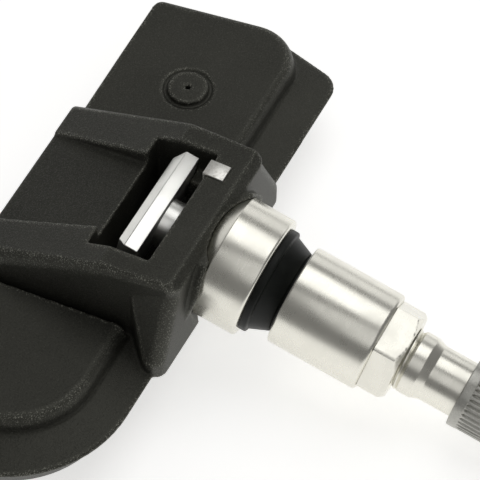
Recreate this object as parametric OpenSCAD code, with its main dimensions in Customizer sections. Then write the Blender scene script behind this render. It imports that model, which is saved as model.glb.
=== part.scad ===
// Clamp-in tyre pressure sensor: a moulded sensor housing on an aluminium valve.
// The origin is on the valve's axis, in the middle of the grommet's spigot, where the rim's hole is.
// X runs along the housing, -Y is the side that the valve leaves from, +Z is up.

/* [Valve] */
// Tilt of the valve below the housing's top, in degrees
valve_tilt = 12; // [8:0.5:15]
// Radius of the collar behind the rim
collar_r = 8.75; // [8.4:0.05:9.2]
// Length of the collar's cylinder
collar_len = 6.55; // [6:0.05:7.2]
// Radius of the collar's ball-shaped seat
ball_r = 12; // [11.6:0.1:12.6]
// Radius of the stem where the nut runs
stem_r = 4.5; // [4.3:0.05:4.6]
// Where the thick part of the stem ends, from the collar's face
stem_end = 24.4; // [23.6:0.1:25.2]
// Radius of the stem's waist in front of the nut
waist_r = 4.03; // [4:0.01:4.15]
// Radius of the stem's cap thread
tip_r = 3.85; // [3.7:0.05:3.9]
// Radius of the air way through the stem
air_r = 1.2; // [1:0.05:1.4]

/* [Rim seal and nut] */
// Radius of the grommet's spigot, which fills the rim's hole
spigot_r = 5.7; // [5.6:0.05:5.8]
// Length of the grommet from the collar to its end
grommet_len = 7; // [6.6:0.1:7.4]
// Radius of the grommet's flange
grommet_flange_r = 7.57; // [7.3:0.01:8]
// Radius of the nut's round skirt
nut_r = 7.15; // [7.05:0.05:7.6]
// Where the nut's skirt starts, from the collar's face
nut_start = 4.23; // [4.1:0.01:4.5]
// Length of the nut's round skirt
nut_skirt = 13.47; // [12.5:0.01:13.9]
// Width across the flats of the nut's hexagon
hex_af = 12; // [11:0.5:12]
// Length of the nut's hexagon
hex_len = 3.9; // [3.4:0.1:4]
// Turn of the hexagon about the valve, in degrees
hex_turn = 12; // [0:1:60]
// Thickness of the washer inside the nut
washer_t = 0.8; // [0.6:0.05:1]

/* [Valve cap] */
// Radius over the cap's ribs
cap_r = 5.1; // [4.95:0.05:5.4]
// Depth of the grooves between the cap's ribs
cap_groove = 0.32; // [0.2:0.02:0.4]
// Number of ribs round the cap
cap_ribs = 40; // [30:1:48]
// Where the cap's open end stands, from the collar's face
cap_start = 30.5; // [30.4:0.1:31]
// Length of the cap
cap_len = 14; // [13.8:0.1:15]

/* [Valve core] */
// Radius of the core's threaded head
core_r = 2.5; // [2.4:0.05:2.55]
// Radius of the core's pin
core_pin_r = 0.5; // [0.4:0.05:0.55]
// Radius of the core's spring to the middle of its wire
spring_r = 0.86; // [0.84:0.01:0.88]
// Radius of the spring's wire
spring_wire_r = 0.13; // [0.1:0.01:0.14]
// Number of turns in the core's spring
spring_turns = 5; // [4:1:6]

/* [Hollow bolt] */
// Length of the bolt's head across the window
head_w = 17.7; // [16.5:0.1:18.2]
// Height of the bolt's head
head_h = 8.6; // [8:0.1:8.8]
// Thickness of the bolt's head
head_t = 3.2; // [2.8:0.1:3.4]
// Gap on the axis between the ball seat and the head, which is the neck's length
neck_len = 6.1; // [5.9:0.1:6.4]
// Radius of the bolt's neck
neck_r = 3.5; // [3.3:0.05:3.6]

/* [Cage] */
// Distance of the cage's front face behind the origin
front_y = 11.9; // [11.8:0.05:12.1]
// Height of the cage's top above the origin
cage_top = 9.9; // [9.5:0.1:10.5]
// Depth of the cage's bottom edge below the origin
cage_base = 5.05; // [4.9:0.05:5.2]
// Half width of the cage at its front
cage_half = 13.1; // [12.6:0.1:13.4]
// Half width of the cage at its rear edge
rear_half = 14.9; // [14:0.1:15.4]
// Half width of the cage's flared foot
foot_half = 17.7; // [17:0.1:18]
// Thickness of the cage's front wall
front_wall = 5.7; // [5.5:0.1:5.9]
// Gap between the ends of the bolt's head and the window's sides
window_gap = 1.05; // [0.85:0.05:1.35]
// Depth of the window's rear wall behind the front face
window_back = 15; // [14.7:0.1:15.5]
// Height of the ramp's lip above the origin
lip_z = 5.5; // [4.8:0.1:6]
// Tilt that the ball seat allows each way, in degrees
seat_tilt = 6; // [3:0.5:6]

/* [Housing] */
// Depth of the housing from the front face to its rear edge
body_depth = 30.4; // [29.8:0.1:31]
// Set-back of the housing's long front edge behind the front face
edge_back = 1.5; // [1.3:0.1:1.7]
// Where the round battery end's centre lies along X
battery_x = -25; // [-26:0.1:-24]
// Radius of the round battery end
battery_end_r = 17.6; // [17.3:0.1:17.9]
// Where the port end's outermost point lies along X
port_end_x = 41.6; // [41.2:0.1:42]
// Where the port end's front corner is centred along X
port_corner_x = 36.2; // [35.8:0.1:36.6]
// Radius of the port end's front corner
port_corner_r = 3.4; // [3.2:0.1:3.8]
// Height of the raised top above the cage's bottom edge
plateau_h = 4.3; // [4.1:0.1:4.6]
// Width of the sloping border round the raised top
border_w = 5.5; // [5.3:0.1:5.7]
// Height of the border where it meets the raised top
border_in_h = 1.6; // [1.4:0.1:2]
// Height of the border at its outer edge
border_out_h = 0.7; // [0.6:0.1:1]
// Depth of the housing's belly below the cage's bottom edge
belly_h = 6.5; // [6.4:0.1:7]
// How far the belly draws in towards its bottom
belly_in = 4.3; // [4:0.1:4.6]
// Thickness of the housing's walls
wall = 1.4; // [1.2:0.05:1.5]
// Thickness of the base cover
cover_t = 1.2; // [1:0.05:1.3]

/* [Pressure port] */
// Where the port lies along X
port_x = 25.3; // [24.8:0.1:26]
// How far the port lies behind the middle of the cell's pocket
port_back = 1; // [0.4:0.1:1.6]
// Radius of the raised disc round the port
port_disc_r = 2.85; // [2.6:0.05:3]
// Radius of the shallow dish round the disc
port_dish_r = 3.9; // [3.7:0.05:4.2]
// Radius of the port's pin hole
port_hole_r = 0.35; // [0.25:0.05:0.5]

/* [Electronics] */
// Gap between the coin cell's edge and the pocket's wall
cell_gap = 0.4; // [0.15:0.05:0.6]
// Thickness of the coin cell
cell_t = 3.2; // [3:0.1:3.2]
// Thickness of the circuit board
board_t = 1; // [0.8:0.1:1]
// Thickness of the cell's tabs
tab_t = 0.25; // [0.2:0.05:0.25]
// Where the contact clip lies along X
clip_x = 7.3; // [7:0.1:7.8]
// Width of the contact clip
clip_w = 2.6; // [2.4:0.1:2.9]
// Thickness of the contact clip
clip_t = 0.35; // [0.3:0.05:0.4]

/* [Hidden] */
$fn = 96;

// Running clearance of turned fits
fit_gap = 0.05;
// Clearance of pieces that must not touch
free_gap = 0.3;
// Margin by which a cutting shape runs past the surface that it cuts
past = 1;
// Thickness of a slice inside a hull
slice = 0.01;

// Stations along the valve, from the collar's face; the rim hole's middle is the origin
rim_t = 5.4;
ball_c = sqrt(ball_r * ball_r - collar_r * collar_r) - collar_len;
seat_flat_r = neck_r + 0.2;
seat_end = ball_c - sqrt(ball_r * ball_r - seat_flat_r * seat_flat_r);
head_front = seat_end - neck_len;
head_back = head_front - head_t;
taper_end = stem_end + 1.3;
tip_start = cap_start + 0.5;
tip_len = 11.3;
tip_end = tip_start + tip_len;

// Widths and heights in the housing
window_half = head_w / 2 + window_gap;
base_z = -cage_base;
plateau_z = base_z + plateau_h;
bottom_z = base_z - belly_h;
pit_z = base_z + 2.55;
rail_top = cage_top - 5;
board_top = base_z - 0.45;
board_z = board_top - board_t;
ceiling_z = plateau_z - wall - 0.15;
rear_top_z = plateau_z + 2.5;
ramp_rear_z = plateau_z + 2;
ramp_fall = lip_z - ramp_rear_z;
bend_depth = 11.5;
bend_z = cage_top - 0.7;
top_bevel = 1.2;

// Plan of the housing: places are depths behind the front face
battery_bulge = 0.35;
battery_depth = edge_back - battery_bulge + battery_end_r;
port_corner_depth = edge_back + port_corner_r;
rear_corner_r = 1.5;
rear_corner_x = port_end_x - 3.5;
port_end_r = 4;
port_end_depth = 13;
rear_draft = 1;
plan_x0 = -50;
plan_len = 100;

// Pocket for the cell and the board
pocket_front = edge_back + belly_in + wall;
pocket_back = body_depth - rear_draft - wall;
pocket_r = (pocket_back - pocket_front) / 2;
pocket_depth = (pocket_front + pocket_back) / 2;
pocket_end = port_corner_x - 4.6;
cover_lip = 0.7;
cell_d = 2 * (pocket_r - cell_gap);
port_depth = pocket_depth + port_back;

// Upper pockets, over the port's parts and over the coil
port_room_left = 9.8;
port_room_right = 5.3;
port_pocket_from = port_x - port_room_left;
port_pocket_to = port_x + port_room_right;
port_pocket_front = pocket_front + 3.5;
port_pocket_back = pocket_back - 1.5;
coil_pocket_front = window_back + 3;
coil_pocket_half = 9;
coil_depth = (coil_pocket_front + pocket_back) / 2;

// Parts on the board
chip_half = 3;
chip_h = 2;
radio_w = 4;
radio_h = 0.9;
radio_x = port_pocket_from + 1.5;
radio_front = port_pocket_front + 1.8;
capacitor_len = 1.6;
capacitor_w = 0.8;
capacitor_pitch = 2.4;
capacitor_front = port_pocket_front + 0.7;
crystal_len = 5;
crystal_w = 3.2;
crystal_h = 1.1;
crystal_x = battery_x + 2;
crystal_front = battery_depth - 2.5;
coil_len = 11;
coil_w = 2.8;
coil_h = 2.4;
coil_lift = 0.2;
cheek_len = 1.8;
cheek_w = 3.4;
cheek_h = 3;
top_tab_len = 10;
top_tab_w = 5;
riser_x = 2;
riser_len = 2.5;
riser_w = 3;
foot_tab_in = 4;
cell_z = board_z - 0.1 - tab_t - cell_t;
leg_x = battery_x + cell_d / 2 + tab_t;

// Inner shapes of the nut
shoulder = grommet_len + washer_t;
counterbore_r = spigot_r + 0.25;
nut_end = nut_start + nut_skirt;
hex_r = hex_af / 2 / cos(30);

// Inner shapes of the stem's outer end
core_head = 3.2;
core_top = tip_end - 0.5;
core_seat = core_top - core_head;
core_len = 7.4;
core_bottom = core_top - core_len;
chamber_end = core_bottom - 3;
slim_r = core_r - 0.3;
core_body_r = core_r - 0.75;
pin_tip = tip_end + 0.3;
spring_foot = core_bottom + 1;
spring_top = core_top - 2.6;
pin_collar_t = 0.6;
cup_t = 0.8;
foot_t = 0.6;
cup_r = core_body_r - 0.05;
cap_roof = tip_end;

plastic = [0.2, 0.2, 0.18];
steel = [0.75, 0.74, 0.71];
aluminium = [0.86, 0.85, 0.82];
rubber = [0.08, 0.09, 0.1];
tin = [0.8, 0.78, 0.74];
brass = [0.78, 0.62, 0.32];

// Stand children, drawn along +Z, on the valve's axis
module along_valve() {
    rotate([90 + valve_tilt, 0, 0])
        translate([0, 0, -rim_t])
            children();
}

// Turn a profile of [radius, station] points about the valve's axis
module turned(points) {
    along_valve()
        rotate_extrude()
            polygon(points);
}

// A ring on the valve's axis
module valve_ring(r_out, r_in, from, to) {
    turned([[r_in, from], [r_out, from], [r_out, to], [r_in, to]]);
}

// Points of a circular arc from angle a0 to a1, in n steps
function arc(cx, cy, r, a0, a1, n) =
    [for (i = [0:n]) [cx + r * cos(a0 + (a1 - a0) * i / n), cy + r * sin(a0 + (a1 - a0) * i / n)]];

// A box from x0 to x1, from depth d0 to d1 behind the front face, and from z0 to z1
module cell_box(x0, x1, d0, d1, z0, z1) {
    translate([x0, front_y + d0, z0])
        cube([x1 - x0, d1 - d0, z1 - z0]);
}

// Discs at the corners of the housing's plan, drawn in by inset, for use inside a hull
module plan_discs(inset, z) {
    translate([battery_x, front_y + battery_depth, z])
        cylinder(h = slice, r = battery_end_r - inset, $fn = 72);
    translate([port_corner_x - inset, front_y + port_corner_depth + inset, z])
        cylinder(h = slice, r = port_corner_r, $fn = 32);
    translate([port_end_x - port_end_r - inset, front_y + port_end_depth, z])
        cylinder(h = slice, r = port_end_r, $fn = 32);
    translate([rear_corner_x - inset, front_y + body_depth - rear_corner_r, z])
        cylinder(h = slice, r = rear_corner_r, $fn = 24);
}

// Keep what lies in front of a depth
module in_front_of(depth) {
    intersection() {
        children();
        cell_box(plan_x0, plan_x0 + plan_len, -past, depth, bottom_z - past, cage_top + past);
    }
}

// The thin border that slopes away from the raised top
module border() {
    in_front_of(body_depth)
        hull() {
            plan_discs(0.3, base_z);
            plan_discs(0, base_z + border_out_h * 0.55);
            plan_discs(0.3, base_z + border_out_h);
            plan_discs(border_w, base_z + border_in_h);
        }
}

// The raised top with its rounded edge, over the battery and the port end
plateau_corner_r = 7;
plateau_end_in = 0.5;
module plateau_discs(inset, z) {
    translate([battery_x + 0.4, front_y + battery_depth - 0.55, z])
        cylinder(h = slice, r = battery_end_r - border_w - 0.4 - inset, $fn = 72);
    translate([port_end_x - plateau_end_in - plateau_corner_r, front_y + edge_back + border_w + plateau_corner_r, z])
        cylinder(h = slice, r = plateau_corner_r - inset, $fn = 48);
    translate([rear_corner_x - plateau_end_in - inset, front_y + body_depth - rear_corner_r, z])
        cylinder(h = slice, r = rear_corner_r - 0.3, $fn = 24);
}

module plateau() {
    in_front_of(body_depth)
        hull() {
            plateau_discs(-0.1, base_z + border_out_h);
            plateau_discs(0.35, plateau_z - 1.2);
            plateau_discs(0.6, plateau_z - 0.6);
            plateau_discs(0.95, plateau_z - 0.2);
            plateau_discs(1.5, plateau_z - slice);
        }
}

// The belly below the border, which draws in on the sides that face the rim
module belly() {
    in_front_of(body_depth - rear_draft / 2)
        hull() {
            plan_discs(0.6, base_z);
            plan_discs(belly_in - 1, bottom_z + 1);
            plan_discs(belly_in, bottom_z);
        }
}

// Side profile of the cage: depth behind the front face and height
module cage_profile() {
    polygon([[0, base_z], [0, cage_top - top_bevel], [top_bevel, cage_top], [bend_depth, bend_z],
        [body_depth, rear_top_z], [body_depth, base_z]]);
}

// Main part of the cage, which widens to the rear and whose upper edges get rounder there
foot_spread = 0.3;
edge_r = 1.8;
top_edge_r = 0.9;
bend_edge_r = 1.9;
rear_edge_r = 3;
above = 0.3;
module cage_sides() {
    hull()
        for (side = [-1, 1]) {
            translate([side * (cage_half - edge_r), front_y + edge_r, base_z])
                cylinder(h = cage_top - top_edge_r - base_z, r = edge_r, $fn = 32);
            translate([side * (cage_half - edge_r), front_y + edge_r, cage_top - 0.15])
                cylinder(h = 0.15 + above, r = edge_r - top_edge_r / 2, $fn = 32);
            translate([side * (cage_half + 0.8 - bend_edge_r), front_y + bend_depth, bend_z + above - bend_edge_r])
                sphere(r = bend_edge_r, $fn = 32);
            translate([side * (rear_half - rear_edge_r), front_y + body_depth, rear_top_z + above - rear_edge_r])
                rotate([90, 0, 0])
                    cylinder(h = 1, r = rear_edge_r, $fn = 32);
            translate([side * (rear_half + foot_spread - 0.5) - 0.5, front_y + body_depth - 1, base_z])
                cube([1, 1, 1.5]);
        }
}

// Flared foot of the cage's front wall, which runs out into the sides
flare_depth = 7.5;
flare_top = cage_top - 2.4;
module cage_foot() {
    hull() {
        for (side = [-1, 1])
            for (level = [[base_z, foot_half - 0.1], [base_z + 2.6, foot_half], [flare_top, cage_half]])
                translate([side * (level[1] - edge_r), front_y + edge_r, level[0]])
                    cylinder(h = 0.15, r = edge_r, $fn = 32);
        translate([-cage_half + 0.6, front_y + flare_depth - 1, base_z])
            cube([2 * cage_half - 1.2, 1, flare_top - base_z]);
    }
}

module cage_block() {
    intersection() {
        translate([plan_x0, front_y, 0])
            rotate([90, 0, 90])
                linear_extrude(plan_len)
                    cage_profile();
        union() {
            cage_sides();
            cage_foot();
        }
    }
}

// Recess between the ribs, over the ramp that falls to the rear edge
ramp_lip_half = 6.7;
ramp_rear_half = 8.4;
module ramp_recess() {
    intersection() {
        translate([plan_x0, front_y, 0])
            rotate([90, 0, 90])
                linear_extrude(plan_len)
                    polygon([[window_back - past, lip_z + ramp_fall / 16], [body_depth + past, ramp_rear_z - ramp_fall / 16],
                        [body_depth + past, cage_top + past], [window_back - past, cage_top + past]]);
        translate([0, 0, bottom_z])
            linear_extrude(cage_top - bottom_z + 2 * past)
                polygon([[-ramp_lip_half, front_y + window_back - 2 * past],
                    [ramp_lip_half, front_y + window_back - 2 * past],
                    [ramp_rear_half, front_y + body_depth + 2 * past],
                    [-ramp_rear_half, front_y + body_depth + 2 * past]]);
    }
}

// Window with the pit in which the bolt's head stands
module window() {
    cell_box(-window_half, window_half, front_wall, window_back, pit_z, cage_top + past);
}

// Boss round the ball seat, which runs out into the cage's front face at its lower end
boss_r = 10.4;
boss_z = 0.8;
boss_out = 1.3;
boss_deep = 3.4;
boss_low = 0;
boss_full = 4.5;
module seat_boss() {
    intersection() {
        translate([0, front_y - boss_out, boss_z])
            rotate([-90, 0, 0])
                cylinder(h = boss_deep, r = boss_r);
        translate([-boss_r, front_y, 0])
            rotate([90, 0, 90])
                linear_extrude(2 * boss_r)
                    polygon([[0, boss_low], [-boss_out, boss_full], [-boss_out, cage_top - top_bevel],
                        [boss_deep, cage_top - top_bevel], [boss_deep, boss_low]]);
    }
}

// Ball seat in the boss
module ball_seat() {
    along_valve()
        translate([0, 0, ball_c])
            sphere(r = ball_r + fit_gap);
}

// Upright slot for the bolt's neck, with room for the tilt
slot_r = neck_r + free_gap + 0.05;
slot_reach = 8;
slot_lift = (front_wall + slot_reach) * sin(seat_tilt);
module neck_slot() {
    along_valve() {
        for (end = [-1, 1])
            translate([0, end * slot_lift, head_front + 0.5])
                cylinder(h = neck_len + 2, r = slot_r);
        translate([-slot_r, -slot_lift, head_front + 0.5])
            cube([2 * slot_r, 2 * slot_lift, neck_len + 2]);
    }
}

// Rails inside the window that the ends of the bolt's head bear on, round about the ball's centre
rail_in = 7.2;
rail_gap = 0.05;
module head_rails() {
    intersection() {
        for (side = [-1, 1])
            translate([side * (rail_in + window_half + past) / 2 - (window_half + past - rail_in) / 2,
                front_y + front_wall - past, pit_z - past])
                cube([window_half + past - rail_in, window_back - front_wall, rail_top - pit_z + past]);
        along_valve()
            translate([0, 0, ball_c])
                rotate([0, 90, 0])
                    translate([0, 0, -foot_half])
                        cylinder(h = 2 * foot_half, r = ball_c - head_front - rail_gap);
    }
}

// Pockets inside the housing for the board, its parts and the cell
module pocket_plan(grow, z0, z1) {
    translate([battery_x, front_y + pocket_depth, z0])
        cylinder(h = z1 - z0, r = pocket_r + grow);
    cell_box(battery_x, pocket_end + grow, pocket_front - grow, pocket_back + grow, z0, z1);
}

module pockets() {
    pocket_plan(0, bottom_z - past, board_top);
    pocket_plan(cover_lip, bottom_z - past, bottom_z + cover_t);
    cell_box(port_pocket_from, port_pocket_to, port_pocket_front, port_pocket_back, board_z, ceiling_z);
    translate([battery_x, front_y + battery_depth - 0.6, board_z])
        cylinder(h = ceiling_z - board_z, r = battery_end_r - border_w - 3.8);
    cell_box(-coil_pocket_half, coil_pocket_half, coil_pocket_front, pocket_back, board_z, plateau_z + 0.25);
}

// Raised disc of the port in its shallow dish
disc_up = 0.45;
dish_down = 0.3;
module port_dish() {
    translate([port_x, front_y + port_depth, plateau_z - dish_down])
        difference() {
            cylinder(h = dish_down + past, r1 = port_dish_r - 0.5, r2 = port_dish_r + 0.5, $fn = 64);
            translate([0, 0, -past])
                cylinder(h = dish_down + 2 * past, r = port_disc_r);
        }
}

module port_disc() {
    translate([port_x, front_y + port_depth, plateau_z - dish_down])
        cylinder(h = dish_down + disc_up, r = port_disc_r);
}

// Groove that parts the battery end's raised top from the cage
groove_w = 0.9;
module battery_groove() {
    translate([0, 0, base_z + border_in_h])
        linear_extrude(cage_top)
            polygon([[0, front_y], [-cage_half - groove_w, front_y],
                [-rear_half - foot_spread - groove_w, front_y + body_depth + past],
                [0, front_y + body_depth + past]]);
}

module housing() {
    color(plastic)
        difference() {
            union() {
                difference() {
                    union() {
                        difference() {
                            union() {
                                border();
                                plateau();
                            }
                            battery_groove();
                            port_dish();
                        }
                        belly();
                        cage_block();
                        seat_boss();
                        port_disc();
                    }
                    window();
                }
                head_rails();
            }
            ramp_recess();
            neck_slot();
            ball_seat();
            pockets();
            translate([port_x, front_y + port_depth, board_z])
                cylinder(h = plateau_z - board_z + past, r = port_hole_r);
            clip_slot();
        }
}

// Plate that closes the housing's underside
cover_gap = 0.08;
module base_cover() {
    color(plastic)
        pocket_plan(cover_lip - cover_gap, bottom_z, bottom_z + cover_t);
}

module circuit_board() {
    color([0.1, 0.35, 0.2])
        difference() {
            pocket_plan(-0.2, board_z, board_top);
            translate([port_x, front_y + port_depth, board_z - past])
                cylinder(h = board_t + 2 * past, r = 0.6);
        }
}

module coin_cell() {
    color(steel)
        translate([battery_x, front_y + pocket_depth, cell_z]) {
            cylinder(h = cell_t - 0.4, r = cell_d / 2);
            cylinder(h = cell_t, r = cell_d / 2 - 1.2);
        }
}

// Tab between the board and the cell's upper face
module cell_tab_top() {
    color(tin)
        translate([battery_x, front_y + pocket_depth, 0]) {
            translate([-top_tab_len / 2, -top_tab_w / 2, cell_z + cell_t])
                cube([top_tab_len, top_tab_w, tab_t]);
            translate([riser_x, -riser_w / 2, cell_z + cell_t])
                cube([riser_len, riser_w, board_z - cell_z - cell_t]);
        }
}

// Tab under the cell, with a leg up to the board
module cell_tab_bottom() {
    color(tin)
        translate([0, front_y + pocket_depth - riser_w / 2, 0]) {
            translate([battery_x - foot_tab_in, 0, cell_z - tab_t])
                cube([leg_x + tab_t - battery_x + foot_tab_in, riser_w, tab_t]);
            translate([leg_x, 0, cell_z - tab_t])
                cube([tab_t, riser_w, board_z - cell_z + tab_t]);
        }
}

// Pressure sensor under the port
module pressure_chip() {
    color([0.12, 0.12, 0.13])
        difference() {
            translate([port_x - chip_half, front_y + port_depth - chip_half, board_top])
                cube([2 * chip_half, 2 * chip_half, chip_h]);
            translate([port_x, front_y + port_depth, board_top + chip_h - 0.8])
                cylinder(h = past, r = 0.7);
        }
}

// Soft ring that joins the sensor to the port
module port_seal() {
    color(rubber)
        translate([port_x, front_y + port_depth, board_top + chip_h])
            difference() {
                cylinder(h = ceiling_z - board_top - chip_h, r = 2.2);
                translate([0, 0, -past])
                    cylinder(h = ceiling_z - board_top + past, r = 1.1);
            }
}

module radio_chip() {
    color([0.1, 0.1, 0.11])
        cell_box(radio_x, radio_x + radio_w, radio_front, radio_front + radio_w, board_top, board_top + radio_h);
}

// Ferrite core with its winding between two cheeks
module antenna_coil() {
    color([0.25, 0.18, 0.14])
        translate([-coil_len / 2, front_y + coil_depth, board_top]) {
            translate([0, -coil_w / 2, coil_lift])
                cube([coil_len, coil_w, coil_h]);
            for (cheek = [0, coil_len - cheek_len])
                translate([cheek, -cheek_w / 2, 0])
                    cube([cheek_len, cheek_w, cheek_h]);
        }
}

module quartz_crystal() {
    color(steel)
        cell_box(crystal_x, crystal_x + crystal_len, crystal_front, crystal_front + crystal_w,
            board_top, board_top + crystal_h);
}

// Five chip capacitors
module capacitors() {
    color([0.6, 0.5, 0.36])
        for (i = [0:4])
            cell_box(radio_x + capacitor_pitch * i, radio_x + capacitor_pitch * i + capacitor_len,
                capacitor_front, capacitor_front + capacitor_w, board_top, board_top + capacitor_w);
}

// Clip folded over the cage's front wall, with a leg down to the board
clip_hook = 2.7;
clip_gap = 0.1;
clip_z = cage_top - clip_t;
module contact_clip() {
    color(tin) {
        cell_box(clip_x - clip_w / 2, clip_x + clip_w / 2, front_wall - clip_hook, front_wall + clip_t,
            clip_z, clip_z + clip_t);
        cell_box(clip_x - clip_w / 2, clip_x + clip_w / 2, front_wall, front_wall + clip_t, board_top, clip_z);
    }
}

// Flat for the clip's hook on the wall, and the slot for its leg down through the pit's floor
module clip_slot() {
    cell_box(clip_x - clip_w / 2 - clip_gap, clip_x + clip_w / 2 + clip_gap,
        front_wall - clip_hook - clip_gap, front_wall + past, clip_z, cage_top + past);
    cell_box(clip_x - clip_w / 2 - clip_gap, clip_x + clip_w / 2 + clip_gap,
        front_wall, front_wall + clip_t + clip_gap, board_z, cage_top);
}

// Stem with collar, ball seat, waist, cap thread and the core's chamber
bolt_r = 2.5;
bolt_len = 7.4;
module valve_stem() {
    color(aluminium)
        turned(concat(
            [[bolt_r + fit_gap, seat_end], [seat_flat_r, seat_end]],
            [for (i = [1:12]) let (r = seat_flat_r + (collar_r - seat_flat_r) * i / 12)
                [r, ball_c - sqrt(ball_r * ball_r - r * r)]],
            [[collar_r, -0.3], [collar_r - 0.3, 0], [stem_r, 0], [stem_r, stem_end], [waist_r, taper_end],
                [waist_r, tip_start], [tip_r, tip_start + 0.2], [tip_r, tip_end - 0.4],
                [tip_r - 0.4, tip_end], [core_r + fit_gap, tip_end], [core_r + fit_gap, core_seat],
                [slim_r + fit_gap, core_seat - 0.6], [slim_r + fit_gap, chamber_end],
                [air_r, chamber_end - 1], [air_r, seat_end + bolt_len],
                [bolt_r + fit_gap, seat_end + bolt_len]]));
}

// Hollow bolt: flat head in the window, neck, and shank screwed into the stem
bolt_bore = 1.1;
head_bevel = 1.2;
socket_af = 4;
module hollow_bolt() {
    color(aluminium)
        along_valve()
            difference() {
                union() {
                    intersection() {
                        translate([-head_w / 2, -head_h / 2, head_back])
                            cube([head_w, head_h, head_t]);
                        rotate([90, 0, 0])
                            translate([0, 0, -head_h])
                                linear_extrude(2 * head_h)
                                    polygon([[-head_w / 2, head_front], [head_w / 2, head_front],
                                        [head_w / 2, head_back + head_bevel],
                                        [head_w / 2 - head_bevel, head_back],
                                        [head_bevel - head_w / 2, head_back],
                                        [-head_w / 2, head_back + head_bevel]]);
                        rotate([90, 0, 90])
                            translate([0, 0, -head_w])
                                linear_extrude(2 * head_w)
                                    polygon([[-head_h / 2, head_front], [head_h / 2, head_front],
                                        [head_h / 2, head_back + head_bevel],
                                        [head_h / 2 - head_bevel, head_back],
                                        [head_bevel - head_h / 2, head_back],
                                        [-head_h / 2, head_back + head_bevel]]);
                    }
                    translate([0, 0, head_front])
                        cylinder(h = neck_len, r = neck_r);
                    translate([0, 0, seat_end])
                        cylinder(h = bolt_len - 0.4, r = bolt_r);
                }
                translate([0, 0, head_back - past])
                    cylinder(h = bolt_len + neck_len + head_t + 2 * past, r = bolt_bore);
                translate([0, 0, head_back - past])
                    cylinder(h = past + 2.4, r = socket_af / 2 / cos(30), $fn = 6);
            }
}

// Rubber grommet between the collar and the rim
module grommet() {
    color(rubber)
        turned([[stem_r + fit_gap, 0], [grommet_flange_r, 0], [grommet_flange_r, 1], [grommet_flange_r - 0.25, 1.23],
            [grommet_flange_r - 0.62, 1.25], [spigot_r + 0.2, 3.8], [spigot_r, 3.86],
            [spigot_r, grommet_len - 0.1], [spigot_r - 0.1, grommet_len], [stem_r + fit_gap, grommet_len]]);
}

// Washer inside the nut, which bears on the grommet
module thrust_washer() {
    color(steel)
        valve_ring(counterbore_r - 0.1, stem_r + 0.1, grommet_len, shoulder);
}

// Nut with a long round skirt and a hexagon, bored for the stem and wider for the washer and grommet
nut_fillet = 1.2;
hex_root = 0.6;
hex_bevel = 0.75;
module valve_nut() {
    color(aluminium)
        along_valve()
            difference() {
                union() {
                    rotate_extrude()
                        polygon(concat([[0, nut_start], [nut_r - 0.25, nut_start], [nut_r, nut_start + 0.25]],
                            arc(nut_r - nut_fillet, nut_end - nut_fillet, nut_fillet, 0, 90, 6), [[0, nut_end]]));
                    intersection() {
                        rotate([0, 0, hex_turn])
                            translate([0, 0, nut_end - hex_root])
                                cylinder(h = hex_len + hex_root, r = hex_r, $fn = 6);
                        rotate_extrude()
                            polygon([[0, nut_end - past], [hex_r + 0.1, nut_end - past],
                                [hex_r + 0.1, nut_end + hex_len - hex_bevel],
                                [hex_af / 2 - 0.1, nut_end + hex_len + 0.05], [0, nut_end + hex_len + 0.05]]);
                    }
                }
                translate([0, 0, nut_start - past])
                    cylinder(h = nut_skirt + hex_len + 2 * past, r = stem_r + fit_gap);
                translate([0, 0, nut_start - past])
                    cylinder(h = shoulder - nut_start + past, r = counterbore_r);
            }
}

// Barrel of the valve core: threaded head, bridge with air holes, and the cup's seat
air_hole_r = 0.42;
air_hole_at = 1.45;
module core_barrel() {
    color(brass)
        difference() {
            turned([[core_pin_r + 0.35, core_bottom], [core_body_r, core_bottom], [core_body_r, core_seat],
                [core_r, core_seat + 0.6], [core_r, core_top], [core_pin_r + 0.08, core_top],
                [core_pin_r + 0.08, spring_top + pin_collar_t + 0.5],
                [spring_r + spring_wire_r + 0.2, spring_top + pin_collar_t + 0.5],
                [spring_r + spring_wire_r + 0.2, spring_foot], [core_pin_r + 0.35, spring_foot]]);
            along_valve()
                for (side = [-1, 1])
                    translate([side * air_hole_at, 0, spring_top + pin_collar_t])
                        cylinder(h = core_head + past, r = air_hole_r, $fn = 32);
        }
}

// Sealing ring on the core's barrel
core_ring_low = 2.2;
core_ring_high = 0.8;
module core_ring() {
    color([0.9, 0.9, 0.88])
        valve_ring(slim_r, core_body_r + 0.03, core_seat - core_ring_low, core_seat - core_ring_high);
}

// Pin of the valve core: tip, spring collar and foot in one
module core_pin() {
    color(brass)
        turned([[0, core_bottom - cup_t - foot_t], [cup_r - 0.2, core_bottom - cup_t - foot_t],
            [cup_r - 0.2, core_bottom - cup_t], [core_pin_r, core_bottom - cup_t],
            [core_pin_r, spring_top], [spring_r + spring_wire_r, spring_top],
            [spring_r + spring_wire_r, spring_top + pin_collar_t], [core_pin_r, spring_top + pin_collar_t],
            [core_pin_r, pin_tip - 0.15], [core_pin_r - 0.15, pin_tip], [0, pin_tip]]);
}

// Rubber cup that shuts the core's lower end
module core_cup() {
    color(rubber)
        valve_ring(cup_r, core_pin_r + 0.02, core_bottom - cup_t, core_bottom);
}

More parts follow.
